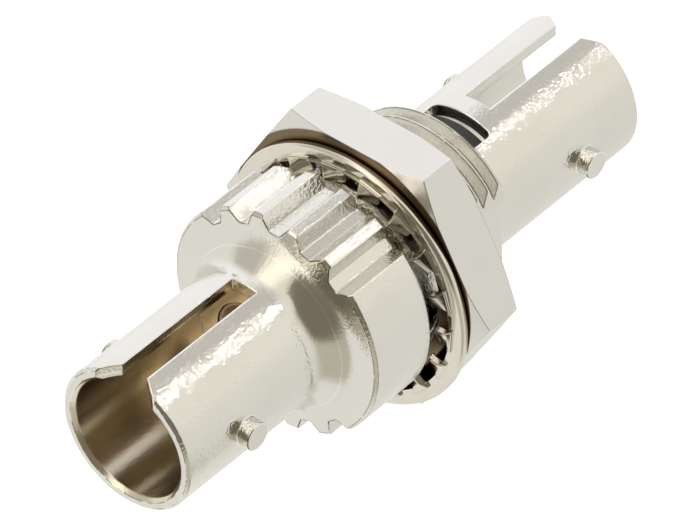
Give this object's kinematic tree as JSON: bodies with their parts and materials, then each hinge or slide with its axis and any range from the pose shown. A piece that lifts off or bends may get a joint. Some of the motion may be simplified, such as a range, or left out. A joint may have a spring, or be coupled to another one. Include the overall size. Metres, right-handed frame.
{
  "type": "fibre adapter",
  "caption": "Bayonet fibre adapter with a ribbed head, panel thread, hex nut and tooth lock washer; joins plugs end to end.",
  "frame": {"origin": "on the axis, in the plane of the head's rear face, which seats on the panel", "axes": "+X along the axis towards the rear mouth, +Z towards the key slots, +Y across the lugs"},
  "size_m": [0.0331, 0.0162, 0.0147],
  "materials": {
    "plated_casting": "satin nickel plate over cast zinc",
    "plated_nut": "smooth nickel plate",
    "plated_washer": "bright nickel plate",
    "black_plastic": "moulded, satin",
    "turned_brass": "turned brass with a dull nickel plate",
    "bronze": "spring bronze, smooth"
  },
  "bodies": {
    "adapter": {"body": "plated_casting", "sleeve_holder": "turned_brass", "retaining_cap": "black_plastic", "alignment_sleeve": "bronze"},
    "washer": {"lock_washer": "plated_washer"},
    "nut": {"hex_nut": "plated_nut"}
  },
  "joints": [
    {"name": "washer_slide", "type": "slide", "parent": "adapter", "child": "washer", "axis": [1, 0, 0], "range_m": [-0.00055, 0.0033]},
    {"name": "nut_turn", "type": "hinge", "parent": "washer", "child": "nut", "pos_m": [0, 0, 0], "axis": [1, 0, 0], "range_deg": [-249, 1486]}
  ],
  "couplings": [
    {"joint": "nut_turn", "follows": "washer_slide", "rad_per_m": 7854}
  ]
}
